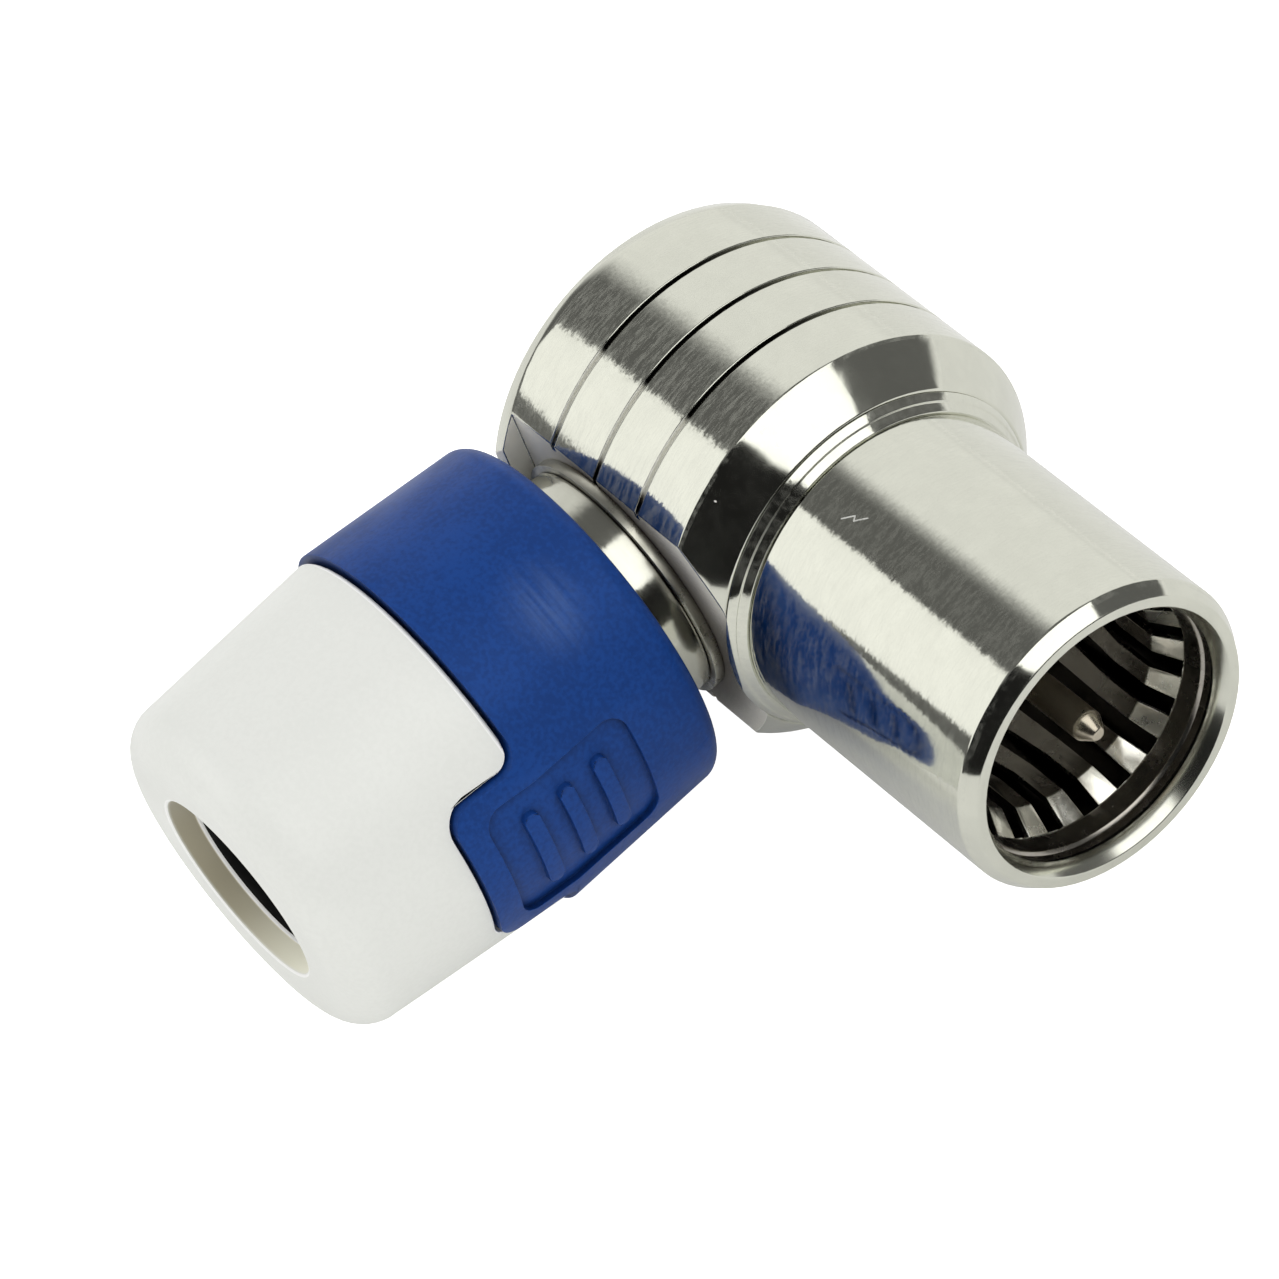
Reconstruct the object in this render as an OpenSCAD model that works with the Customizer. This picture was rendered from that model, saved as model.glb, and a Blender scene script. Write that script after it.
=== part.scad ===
// Right-angle push-on F connector with a clamp-on cable end.
// Origin: where the centre pin leaves the front insulator, on the mating axis.
// +X runs out of the mouth, -Y runs out along the cable, +Z is up.

/* [Mating end] */
// Outer diameter of the coupling sleeve
sleeve_d = 12.76; // [12:0.02:13.6]
// Distance from the front insulator's face to the mouth
mating_depth = 10.36; // [8.6:0.02:12]
// Radial size of the chamfer round the mouth
mouth_chamfer = 0.38; // [0.3:0.02:0.5]
// Length of that chamfer along the axis
chamfer_len = 0.64; // [0.3:0.02:0.8]
// Wall of the sleeve round the contact cage
sleeve_t = 0.88; // [0.8:0.01:0.95]
// Radial height of the lip that keeps the cage in
lip_h = 0.22; // [0.15:0.01:0.35]
// Radial height of the lip's sloping lead-in
lead_h = 0.305; // [0.24:0.005:0.35]
// Depth of the lead-in
lead_len = 0.6; // [0.3:0.05:0.9]
// Axial thickness of the lip
lip_t = 0.2; // [0.15:0.05:0.4]
// Radial step from the cage's seat down to the sleeve's spigot
spigot_step = 0.1; // [0.05:0.01:0.3]
// Wall of the sleeve's spigot in the body
spigot_t = 0.8; // [0.6:0.05:1]
// Radial height of the shoulder ring's rear edge over the sleeve
shoulder_h = 0.6; // [0.45:0.01:0.65]
// Radial height of its front edge over the sleeve
shoulder_lip = 0.1; // [0.05:0.01:0.15]
// Radial step between the ring's two slopes
shoulder_step = 0.06; // [0.03:0.01:0.1]
// Length of the shoulder ring
shoulder_len = 0.64; // [0.5:0.02:0.8]

/* [Contact cage] */
// Number of spring bars
bar_n = 20; // [12:1:24]
// Width of the window between two bars
window_w = 0.7; // [0.4:0.02:0.8]
// Sheet thickness of the cage
cage_t = 0.25; // [0.2:0.01:0.3]
// Angle that the cage is turned about its axis
cage_turn = 2.3; // [0:0.1:18]
// Distance that the bars bow inwards
bow_h = 0.62; // [0.5:0.01:0.7]
// Length of the straight stretch that grips
grip_len = 1.8; // [1:0.1:2.4]
// Length of the closed collar at each end of the cage
cage_collar = 1.05; // [0.8:0.05:1.3]
// Length of the bars' slope behind the front collar
front_slope = 1.1; // [0.9:0.1:2]
// Flare of the cage's front edge
cage_flare = 0.12; // [0.05:0.01:0.14]
// Thickness of the ring between lip and cage
keeper_t = 0.3; // [0.2:0.02:0.4]
// Radial height of that ring
keeper_h = 0.17; // [0.12:0.01:0.25]

/* [Centre contact] */
// Diameter of the centre pin
pin_d = 1.26; // [0.9:0.02:1.4]
// Distance from the pin's tip back to the mouth
pin_setback = 0.6; // [0.2:0.05:1.2]
// Length of the pin's tapered tip
pin_taper = 0.66; // [0.4:0.02:1]
// Diameter of the pin's flat end
pin_tip_d = 0.5; // [0.3:0.02:0.6]
// Diameter of the pin inside the front insulator
pin_body_d = 2.2; // [2:0.05:2.6]
// Diameter of the pin's flange behind the insulator
pin_flange_d = 3.2; // [3:0.05:3.6]
// Thickness of that flange
pin_flange_t = 0.6; // [0.4:0.05:0.8]
// Diameter of the block that turns the contact through the corner
block_d = 3; // [2.8:0.05:3.2]
// Distance from the cable axis to the pin's rear end
pin_back = 2; // [1.2:0.1:2.2]
// Length of the block ahead of the cable axis
block_front = 2.6; // [2.3:0.05:2.9]
// Length of the block behind the cable axis
block_back = 2; // [1.7:0.05:2.3]
// Outer diameter of the spring clip in the block
clip_d = 2.1; // [1.9:0.02:2.2]
// Diameter of the wire that the clip grips
wire_d = 1.1; // [0.8:0.02:1.3]
// Distance that the clip stands out towards the cable
clip_out = 2.6; // [2.2:0.05:3]
// Width of the clip's slots
clip_slot = 0.3; // [0.2:0.02:0.4]
// Depth of the clip's flared mouth
clip_lead = 0.3; // [0.2:0.02:0.5]
// Width of the rim left at that mouth
clip_rim = 0.1; // [0.06:0.01:0.2]

/* [Insulators] */
// Radial step from the cage's seat down to the front insulator
bead_step = 0.5; // [0.4:0.05:0.6]
// Thickness of the front insulator
bead_t = 2.4; // [2:0.05:2.8]
// Depth of the ring-shaped relief in the front insulator's face
bead_relief = 0.5; // [0.3:0.05:0.8]
// Width of the face left inside and outside that relief
relief_edge = 1.2; // [0.8:0.05:1.6]
// Thickness of the ring that keeps the front insulator in
bead_ring_t = 0.4; // [0.3:0.05:0.6]
// Radial height of that ring
bead_ring_h = 0.62; // [0.5:0.02:0.64]
// Diameter of the insulator's nose in the body's web
nose_d = 5.2; // [4.8:0.1:5.6]
// Radial room that the insulators leave round the clip
clip_room = 0.3; // [0.2:0.05:0.4]
// Radial room that the insulators leave round the wire
wire_room = 0.15; // [0.1:0.01:0.2]

/* [Elbow body] */
// Distance from the cable axis to the front insulator's face
elbow_reach = 10.1; // [9.7:0.05:11]
// Diameter of the drum
drum_d = 16.8; // [16.2:0.05:17.6]
// Distance from the cable axis to the drum's front edge
drum_front = 5.28; // [5:0.02:5.6]
// Distance from the cable axis to the rear face
drum_back = 5.85; // [5.4:0.05:6.4]
// Length of the rear edge's slope
rear_slope = 0.9; // [0.5:0.05:1.2]
// Radial height of the rear edge's slope
rear_drop = 0.36; // [0.2:0.02:0.6]
// Length of the cone ahead of the drum
cone_len = 1.73; // [1.5:0.01:2]
// Diameter of the cone's front end
cone_d = 14.1; // [13.8:0.05:14.6]
// Distance from the cable axis back to the first turned groove
groove_back = 2.43; // [2.1:0.01:2.8]
// Pitch of the turned grooves
groove_pitch = 2.58; // [2.3:0.01:2.7]
// Number of turned grooves
groove_n = 3; // [1:1:3]
// Width of a groove
groove_w = 0.2; // [0.12:0.02:0.4]
// Depth of a groove
groove_h = 0.22; // [0.08:0.02:0.3]
// Distance from the mating axis to the milled flat
flat_dist = 6.38; // [6.2:0.02:6.6]
// Thickness of the rim that the flat leaves standing at the rear
rim_t = 0.9; // [0.6:0.05:1.2]
// Distance from the mating axis to the rim's own flat
rim_reach = 7.3; // [7:0.05:7.8]
// Radial room that the rim leaves round the neck's washer
rim_room = 0.1; // [0.05:0.01:0.2]
// Diameter of the chamber inside
chamber_d = 9.6; // [9.2:0.05:9.9]
// Distance from the cable axis to the chamber's front wall
chamber_front = 3.2; // [3:0.05:3.5]
// Thickness of the web ahead of the chamber
web_t = 1.4; // [1:0.05:1.6]
// Radial width of the ledge under the closing disc at the rear
rear_ledge = 0.6; // [0.5:0.05:0.8]
// Thickness of the closing disc
rear_cap_t = 1.2; // [0.8:0.05:1.4]
// Width of the closing disc's thick rim
rear_cap_rim = 1.5; // [0.8:0.1:2]
// Depth that the closing disc's face lies below the rear edge
rear_cap_sunk = 0.15; // [0:0.01:0.3]

/* [Neck] */
// Diameter of the neck
neck_d = 9.9; // [9.6:0.05:10.1]
// Distance from the mating axis to the neck's end
neck_end = 11.65; // [11.4:0.05:11.8]
// Radial height of the washer at the neck's root
washer_h = 0.3; // [0.15:0.01:0.4]
// Thickness of the washer
washer_t = 0.45; // [0.3:0.02:0.6]
// Wall of the neck's spigot in the body
neck_spigot_t = 0.7; // [0.6:0.05:0.8]
// Depth of the spigot below the flat
neck_spigot_len = 1.48; // [1.2:0.02:1.5]
// Diameter of the neck's bore
neck_bore_d = 6.4; // [6.2:0.05:6.5]
// Diameter of the lip at the bore's inner end
neck_lip_d = 5.2; // [4.8:0.05:5.4]
// Thickness of that lip
neck_lip_t = 0.3; // [0.25:0.05:0.5]
// Length of the guide bush
guide_len = 3.4; // [3:0.05:3.6]
// Length of the guide bush's funnel
funnel_len = 2; // [1:0.1:2.6]
// Thickness of the ferrule's flange
ferrule_flange_t = 0.9; // [0.6:0.05:1]
// Radial step from the neck's bore down to the ferrule
ferrule_step = 0.5; // [0.4:0.05:0.6]
// Wall of the ferrule
ferrule_t = 0.3; // [0.2:0.02:0.4]
// Distance from the mating axis to the ferrule's end
ferrule_end = 18; // [16:0.1:19]
// Number of barbs on the ferrule
barb_n = 3; // [1:1:4]
// Radial height of a barb
barb_h = 0.2; // [0.1:0.02:0.25]

/* [Clamp collar] */
// Distance from the mating axis to the collar's rear face
collar_start = 8.45; // [8.3:0.05:8.8]
// Distance from the mating axis to the joint with the cap
collar_end = 15.8; // [15.2:0.05:16.4]
// Radial height of the collar's rear rim over the neck
collar_h = 2.7; // [2.6:0.02:2.85]
// Radial flare from there to the joint
collar_flare = 0.34; // [0.2:0.01:0.5]
// Radius of the rear rim
collar_round = 0.75; // [0.5:0.05:1]
// Wall of the collar round the cavity that the cap's skirt slides in
collar_t = 0.7; // [0.65:0.05:0.75]
// Radial height of the lip at the cavity's mouth
cavity_lip_h = 0.25; // [0.2:0.01:0.3]
// Thickness of that lip
cavity_lip_t = 0.35; // [0.3:0.05:0.5]
// Half width of the tongue
tongue_w = 3.6; // [3:0.05:4]
// Length of the tongue past the joint
tongue_len = 3.45; // [2.8:0.05:3.8]
// Radius of the tongue's corners
tongue_corner = 1.05; // [0.6:0.05:1.3]
// Radius of the fillet at the tongue's root
tongue_fillet = 1; // [0.6:0.05:1.2]
// Radial drop of the surface from the joint to the tongue's end
tongue_drop = 0.24; // [0.15:0.01:0.3]
// Half width of the recessed panel
panel_w = 2.9; // [2.2:0.05:2.9]
// Length of the recessed panel
panel_len = 6.5; // [5:0.1:6.6]
// Distance from the tongue's end back to the panel
panel_margin = 1.05; // [0.8:0.05:1.4]
// Radius of the panel's corners
panel_corner = 0.85; // [0.4:0.05:1]
// Depth of the panel
panel_h = 0.28; // [0.15:0.01:0.35]
// Number of plain grip bars in the panel
grip_bar_n = 3; // [1:1:4]
// Width of a grip bar
grip_bar_w = 0.65; // [0.6:0.05:0.8]
// Half length of a grip bar
grip_bar_reach = 1.9; // [1:0.1:2.2]
// Radius of a grip bar's corners
grip_bar_corner = 0.29; // [0.1:0.01:0.29]
// Width of the lock ring's groove
lock_w = 0.6; // [0.4:0.05:0.8]
// Radial depth of the groove in the neck
lock_h = 0.4; // [0.3:0.05:0.5]
// Distance from the collar's rear face to the groove
lock_back = 0.95; // [0.8:0.05:1.2]
// Gap in the lock ring
lock_gap = 1.4; // [1:0.1:2]

/* [Clamp sleeve] */
// Number of jaws
jaw_n = 6; // [4:1:8]
// Width of the slot between two jaws
jaw_slot = 0.8; // [0.5:0.05:1]
// Wall of the socket over the neck's end
socket_t = 0.75; // [0.6:0.05:0.85]
// Length of the socket over the neck's end
socket_len = 0.6; // [0.3:0.02:0.62]
// Thickness of the socket's floor
floor_t = 1; // [0.8:0.05:1.2]
// Length of the closed stretch at the jaws' roots
jaw_root = 0.6; // [0.4:0.1:1]
// Inner diameter of the jaws
jaw_d = 7.3; // [7.2:0.05:7.5]
// Wall of the jaws
jaw_t = 1.1; // [0.9:0.05:1.2]
// Length of the jaws' thick heads
jaw_head_len = 3.2; // [2.6:0.05:3.6]
// Length of the slope up to the heads
head_slope = 0.5; // [0.3:0.05:0.8]
// Radial height of the lead-in at the jaws' ends
jaw_lead = 0.2; // [0.1:0.05:0.3]
// Distance from the mating axis to the jaws' ends
jaw_end = 22.6; // [22:0.05:22.8]
// Number of gripping ridges inside each jaw
ridge_n = 3; // [1:1:4]
// Height of a ridge
ridge_h = 0.25; // [0.1:0.05:0.3]
// Half length of a ridge
ridge_len = 0.2; // [0.1:0.02:0.3]

/* [Clamp cap] */
// Distance from the mating axis to the cap's end face
cap_end = 25.4; // [25.2:0.05:26.5]
// Radial step from the collar down to the cap at the joint
cap_step = 0.21; // [0.1:0.01:0.3]
// Radial taper from there to where the end starts to round
cap_taper = 0.6; // [0.4:0.01:0.7]
// Radius of the cap's rounded end
cap_round = 1.7; // [1.2:0.05:2]
// Diameter of the cable hole
cable_hole_d = 7; // [6.6:0.05:7.1]
// Diameter of the hole's mouth
hole_mouth_d = 8.1; // [7.6:0.05:8.6]
// Length of the hole's sloping mouth
hole_mouth_len = 0.9; // [0.6:0.05:1.1]
// Thickness of the end wall
cap_wall_end = 1.8; // [1.5:0.05:2]
// Wall of the skirt inside the collar
skirt_t = 0.55; // [0.45:0.01:0.58]
// Length of the skirt's bore, from the joint towards the cable
skirt_bore_len = 1.6; // [1:0.05:2.2]
// Inner diameter at the end wall
cap_throat_d = 9.9; // [9.7:0.05:10.2]
// Length of the stop bead on the skirt's end
bead_len = 0.45; // [0.3:0.05:0.6]
// Width of the fine chamfer on the cap's joint edge
cap_edge = 0.14; // [0.05:0.01:0.2]

/* [Fits] */
// Radial clearance of pressed and seated pieces
seat_gap = 0.02; // [0.01:0.01:0.04]
// Axial clearance between stacked pieces
stack_gap = 0.02; // [0.01:0.01:0.05]
// Width of the visible joint between collar and cap
joint_gap = 0.13; // [0.08:0.01:0.2]
// Radial clearance of the sliding skirt
slide_gap = 0.1; // [0.05:0.01:0.1]
// Distance that the cap pulls out
cap_travel = 3.6; // [3.6:0.02:3.8]
// Radial gap between the jaws' heads and the cap's slope
jaw_gap = 0.35; // [0.3:0.01:0.5]

/* [Hidden] */
$fn = 96;
eps = 0.01;
far = 40;
mouth_x = mating_depth;
seat_d = sleeve_d - 2 * sleeve_t;
lip_d = seat_d - 2 * lip_h;
mouth_d = lip_d + 2 * lead_h;
spigot_d = seat_d - 2 * spigot_step;
shoulder_r = sleeve_d / 2 + (shoulder_h + shoulder_lip - shoulder_step) / 2;
bead_d = seat_d - 2 * bead_step;
shoulder_x = drum_front + cone_len - elbow_reach;
sleeve_x = shoulder_x + shoulder_len;
spigot_x = chamber_front + web_t - elbow_reach;
bead_x = -bead_t;
lip_front = mouth_x - lead_len;
lip_back = lip_front - lip_t;
keeper_back = lip_back - keeper_t - stack_gap;
cage_front = keeper_back - stack_gap;
cage_back = bead_ring_t + 2 * stack_gap;
cage_r = seat_d / 2 - seat_gap - cage_t;
grip_r = cage_r - bow_h;
window_front = cage_front - cage_collar;
window_back = cage_back + cage_collar;
grip_front = window_front - front_slope;
grip_back = grip_front - grip_len;
pin_end = mouth_x - pin_setback;
rear_cap_d = chamber_d + 2 * rear_ledge;
neck_root = flat_dist + washer_t + stack_gap;
neck_spigot_d = neck_bore_d + 2 * neck_spigot_t;
ferrule_d = neck_bore_d - 2 * ferrule_step;
guide_start = flat_dist - neck_spigot_len + neck_lip_t + stack_gap;
guide_end = guide_start + guide_len;
ferrule_start = guide_end + stack_gap;
lock_start = collar_start + lock_back;
collar_back_d = neck_d + 2 * collar_h;
collar_front_d = collar_back_d + 2 * collar_flare;
tongue_end_d = collar_front_d - 2 * tongue_drop;
cavity_d = collar_back_d - 2 * collar_t;
cavity_start = collar_end - cavity_lip_t - bead_len - cap_travel - 4 * slide_gap;
cavity_lip_d = cavity_d - 2 * cavity_lip_h;
tongue_end = collar_end + tongue_len;
panel_end = tongue_end - panel_margin;
socket_start = neck_end - socket_len;
floor_start = neck_end + stack_gap;
jaw_start = floor_start + floor_t;
jaw_head = jaw_end - jaw_head_len;
cap_start = collar_end + joint_gap;
cap_back_d = collar_front_d - 2 * cap_step;
cap_front_d = cap_back_d - 2 * cap_taper;
skirt_d = cavity_lip_d - 2 * slide_gap;
skirt_bore_d = skirt_d - 2 * skirt_t;
skirt_start = cavity_start + 2 * slide_gap;
throat = cap_end - cap_wall_end;
bore_end = cap_start + skirt_bore_len;

// Radius of the cap's inner slope at a distance from the mating axis.
function cap_bore_r(s) = skirt_bore_d / 2
    + (cap_throat_d - skirt_bore_d) / 2 * (s - bore_end) / (throat - bore_end);

// Turns a piece drawn along Z to lie along the mating axis.
module along_mating() { rotate([0, 90, 0]) children(); }

// The same, measured from the crossing of the two axes.
module from_corner() { translate([-elbow_reach, 0, 0]) rotate([0, 90, 0]) children(); }

// Turns a piece drawn along Z to lie along the cable, measured from the mating axis.
module along_cable() { translate([-elbow_reach, 0, 0]) rotate([90, 0, 0]) children(); }

// A turned piece from its half section, as [radius, distance] points.
module turned(points) { rotate_extrude() polygon(points); }

module ring(outer_d, inner_d, from, to) {
    turned([[inner_d / 2, from], [outer_d / 2, from], [outer_d / 2, to], [inner_d / 2, to]]);
}

module rod(d, from, to) { translate([0, 0, from]) cylinder(d = d, h = to - from); }

// Slots cut outwards from the axis, n of them round it.
module radial_slots(n, width, from, to, inner_r = 0, outer_r = far) {
    for (i = [0 : n - 1])
        rotate([0, 0, i * 360 / n])
            translate([inner_r, -width / 2, from]) cube([outer_r - inner_r, width, to - from]);
}

module elbow_body() {
    color("#c9c8c0") difference() {
        from_corner() difference() {
            turned([[0, -drum_back], [drum_d / 2 - rear_drop, -drum_back],
                    [drum_d / 2, rear_slope - drum_back], [drum_d / 2, drum_front],
                    [cone_d / 2, drum_front + cone_len], [0, drum_front + cone_len]]);
            for (i = [0 : groove_n - 1])
                ring(far, drum_d - 2 * groove_h, i * groove_pitch - groove_back - groove_w / 2,
                     i * groove_pitch - groove_back + groove_w / 2);
            rod(rear_cap_d, -far, rear_cap_t + rear_cap_sunk - drum_back);
            rod(chamber_d, -drum_back, chamber_front);
            rod(nose_d, 0, drum_front + cone_len);
            rod(spigot_d, chamber_front + web_t, far);
        }
        along_cable() {
            translate([rim_t - drum_back, -far, flat_dist]) cube([2 * far, 2 * far, far]);
            translate([-far, -far, rim_reach]) cube([2 * far, 2 * far, far]);
            rod(neck_d + 2 * washer_h + 2 * rim_room, flat_dist, far);
            rod(neck_spigot_d, 0, far);
        }
    }
}

module rear_cap() {
    color("#bdbcb4") from_corner() difference() {
        rod(rear_cap_d - 2 * seat_gap, rear_cap_sunk - drum_back,
            rear_cap_sunk + rear_cap_t - drum_back - stack_gap);
        rod(rear_cap_d - 2 * rear_cap_rim, rear_cap_sunk + rear_cap_t / 2 - drum_back, 0);
    }
}

module coupling_sleeve() {
    color("#d2d1c8") along_mating() turned([
        [spigot_d / 2 - spigot_t, spigot_x + stack_gap], [spigot_d / 2 - seat_gap, spigot_x + stack_gap],
        [spigot_d / 2 - seat_gap, sleeve_x],
        [sleeve_d / 2, sleeve_x], [sleeve_d / 2, mouth_x - chamfer_len],
        [sleeve_d / 2 - mouth_chamfer, mouth_x], [mouth_d / 2, mouth_x],
        [lip_d / 2, lip_front], [lip_d / 2, lip_back], [seat_d / 2, lip_back], [seat_d / 2, 0],
        [bead_d / 2, 0], [bead_d / 2, bead_x - stack_gap],
        [spigot_d / 2 - spigot_t, bead_x - stack_gap]]);
}

module shoulder_ring() {
    color("#cfcec6") along_mating() turned([
        [spigot_d / 2 + seat_gap, shoulder_x + stack_gap],
        [sleeve_d / 2 + shoulder_h, shoulder_x + stack_gap],
        [shoulder_r + shoulder_step, (shoulder_x + sleeve_x) / 2],
        [shoulder_r, (shoulder_x + sleeve_x) / 2],
        [sleeve_d / 2 + shoulder_lip, sleeve_x - stack_gap],
        [spigot_d / 2 + seat_gap, sleeve_x - stack_gap]]);
}

// A rolled spring sheet: two closed collars joined by bars that bow inwards to the grip.
module contact_cage() {
    color("#8d8a84") along_mating() rotate([0, 0, cage_turn]) difference() {
        turned([
            [cage_r, cage_back], [cage_r, window_back], [grip_r, grip_back], [grip_r, grip_front],
            [cage_r, window_front], [cage_r, cage_front - cage_flare], [cage_r + cage_flare, cage_front],
            [cage_r + cage_t, cage_front], [cage_r + cage_t, window_front],
            [grip_r + cage_t, grip_front], [grip_r + cage_t, grip_back],
            [cage_r + cage_t, window_back], [cage_r + cage_t, cage_back]]);
        rotate([0, 0, 180 / bar_n])
            radial_slots(bar_n, window_w, window_back, window_front, grip_r / 2, seat_d);
    }
}

module cage_keeper() {
    color("#dddcd4") along_mating()
        ring(seat_d - 2 * seat_gap, seat_d - 2 * keeper_h, keeper_back, lip_back - stack_gap);
}

module front_insulator() {
    relief_in = pin_body_d + 2 * relief_edge;
    relief_out = bead_d - 2 * relief_edge;
    color("#e8e6dc") along_mating() difference() {
        ring(bead_d - 2 * seat_gap, pin_body_d + 2 * seat_gap, bead_x, 0);
        ring(relief_out, relief_in, -bead_relief, far);
    }
}

module insulator_ring() {
    color("#cfcec6") along_mating()
        ring(seat_d - 2 * seat_gap, seat_d - 2 * bead_ring_h, stack_gap, bead_ring_t + stack_gap);
}

module centre_pin() {
    flange_x = bead_x - stack_gap;
    color("#c8b878") along_mating() turned([
        [0, pin_back - elbow_reach], [pin_d / 2, pin_back - elbow_reach],
        [pin_d / 2, flange_x - pin_flange_t],
        [pin_flange_d / 2, flange_x - pin_flange_t], [pin_flange_d / 2, flange_x],
        [pin_body_d / 2, flange_x], [pin_body_d / 2, 0], [pin_d / 2, 0],
        [pin_d / 2, pin_end - pin_taper], [pin_tip_d / 2, pin_end], [0, pin_end]]);
}

module contact_block() {
    color("#c9b26a") difference() {
        from_corner() difference() {
            rod(block_d, -block_back, block_front);
            rod(pin_d + 2 * seat_gap, pin_back - stack_gap, far);
        }
        along_cable() rod(clip_d + 2 * seat_gap, -far, far);
    }
}

// A tube slotted from its cable end into four springy fingers.
module wire_clip() {
    color("#b9b6a8") along_cable() difference() {
        ring(clip_d, wire_d, -block_d / 2, clip_out);
        radial_slots(4, clip_slot, 0, far);
        turned([[0, clip_out - clip_lead], [wire_d / 2, clip_out - clip_lead],
                [clip_d / 2 - clip_rim, clip_out + eps], [0, clip_out + eps]]);
    }
}

module chamber_insulator() {
    body_back = rear_cap_sunk + rear_cap_t - drum_back + stack_gap;
    color("#e4e2d8") difference() {
        from_corner() difference() {
            union() {
                rod(chamber_d - 2 * seat_gap, body_back, chamber_front - stack_gap);
                rod(nose_d - 2 * seat_gap, 0, chamber_front + web_t);
            }
            rod(block_d + 2 * seat_gap, -block_back - stack_gap, block_front + stack_gap);
            rod(pin_d + 2 * seat_gap, 0, far);
        }
        along_cable() {
            rod(clip_d + 2 * clip_room, -block_d / 2 - stack_gap, clip_out + clip_room);
            rod(wire_d + 2 * wire_room, 0, far);
        }
    }
}

module neck_tube() {
    start = flat_dist - neck_spigot_len;
    color("#cbcac2") along_cable() difference() {
        union() {
            rod(neck_spigot_d - 2 * seat_gap, start, neck_root + eps);
            rod(neck_d, neck_root, neck_end);
        }
        rod(neck_lip_d, 0, far);
        rod(neck_bore_d, start + neck_lip_t, far);
        ring(far, neck_d - 2 * lock_h, lock_start, lock_start + lock_w);
    }
}

module neck_washer() {
    color("#b4b3ab") along_cable()
        ring(neck_d + 2 * washer_h, neck_spigot_d + 2 * seat_gap, flat_dist + stack_gap,
             neck_root - stack_gap);
}

// Funnels the bared wire into the clip.
module guide_bush() {
    hole = wire_d / 2 + wire_room;
    color("#e6e3d6") along_cable() turned([
        [hole, guide_start], [neck_bore_d / 2 - seat_gap, guide_start],
        [neck_bore_d / 2 - seat_gap, guide_end], [ferrule_d / 2 - ferrule_t, guide_end],
        [hole, guide_end - funnel_len]]);
}

// The thin tube that slides under the cable's braid.
module ferrule() {
    bore = ferrule_d / 2 - ferrule_t;
    barb_pitch = (ferrule_end - neck_end) / (barb_n + 2);
    color("#c4c2b8") along_cable() {
        difference() {
            union() {
                rod(neck_bore_d - 2 * seat_gap, ferrule_start, ferrule_start + ferrule_flange_t);
                rod(ferrule_d, ferrule_start, ferrule_end);
                for (i = [1 : barb_n])
                    translate([0, 0, ferrule_end - i * barb_pitch])
                        cylinder(d1 = ferrule_d + 2 * barb_h, d2 = ferrule_d, h = barb_pitch / 2);
            }
            rod(2 * bore, 0, far);
        }
    }
}

module lock_ring() {
    color("#a8a69c") along_cable() difference() {
        ring(neck_d + lock_h, neck_d - 2 * lock_h + 2 * seat_gap, lock_start + stack_gap,
             lock_start + lock_w - stack_gap);
        translate([-lock_gap / 2, 0, 0]) cube([lock_gap, far, far]);
    }
}

// Flat outline of the tongue, seen along X: width along Y, distance along X of the drawing.
module tongue_outline(grow = 0) {
    half = tongue_w + grow;
    corner = tongue_corner + grow;
    end = tongue_end + grow;
    root = collar_end + grow;
    fillet = tongue_fillet - grow;
    translate([collar_start, -half]) square([end - corner - collar_start, 2 * half]);
    translate([collar_start, corner - half]) square([end - collar_start, 2 * (half - corner)]);
    for (side = [-1, 1]) {
        translate([end - corner, side * (half - corner)]) circle(r = corner);
        difference() {
            translate([root - eps, side > 0 ? half - eps : -half - fillet])
                square([fillet + eps, fillet + eps]);
            translate([root + fillet, side * (half + fillet)]) circle(r = fillet);
        }
    }
}

module rounded_outline(from, to, half, corner) {
    translate([from + corner, -half]) square([to - from - 2 * corner, 2 * half]);
    translate([from, corner - half]) square([to - from, 2 * (half - corner)]);
    for (x = [from + corner, to - corner], y = [corner - half, half - corner])
        translate([x, y]) circle(r = corner);
}

// Raises a flat outline out along +X, so that it cuts or keeps a patch of the wall there.
module towards_mouth(height = far) {
    multmatrix([[0, 0, 1, 0], [0, 1, 0, 0], [1, 0, 0, 0], [0, 0, 0, 1]])
        linear_extrude(height) children();
}

module collar_skin() {
    rim = collar_start + collar_round;
    rotate_extrude() {
        polygon([[0, collar_start], [collar_back_d / 2 - collar_round, collar_start],
                 [collar_back_d / 2 - collar_round, rim], [collar_back_d / 2, rim],
                 [collar_front_d / 2, collar_end], [tongue_end_d / 2, tongue_end],
                 [0, tongue_end]]);
        intersection() {
            translate([collar_back_d / 2 - collar_round, rim]) circle(r = collar_round);
            translate([0, collar_start]) square([far, collar_round]);
        }
    }
}

module collar_cavity() {
    rod(neck_d + 2 * seat_gap, 0, far);
    rod(neck_d + lock_h + 2 * slide_gap, lock_start, lock_start + lock_w);
    rod(cavity_d, cavity_start, collar_end - cavity_lip_t);
    rod(cavity_lip_d, cavity_start, far);
}

module clamp_collar() {
    bar_pitch = panel_len / (grip_bar_n + 1);
    panel_mid = panel_end - panel_len / 2;
    color("#2b4a94") along_cable() difference() {
        collar_skin();
        collar_cavity();
        difference() {
            rod(far, collar_end, far);
            towards_mouth() tongue_outline();
        }
        difference() {
            towards_mouth() rounded_outline(panel_end - panel_len, panel_end, panel_w, panel_corner);
            turned([[0, 0], [collar_back_d / 2 - panel_h, collar_start],
                    [collar_front_d / 2 - panel_h, collar_end],
                    [tongue_end_d / 2 - panel_h, tongue_end], [0, tongue_end]]);
            for (i = [0 : grip_bar_n - 1])
                towards_mouth()
                    rounded_outline(panel_mid + (i - (grip_bar_n - 1) / 2) * bar_pitch - grip_bar_w / 2,
                                    panel_mid + (i - (grip_bar_n - 1) / 2) * bar_pitch + grip_bar_w / 2,
                                    grip_bar_reach, grip_bar_corner);
        }
    }
}

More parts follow.
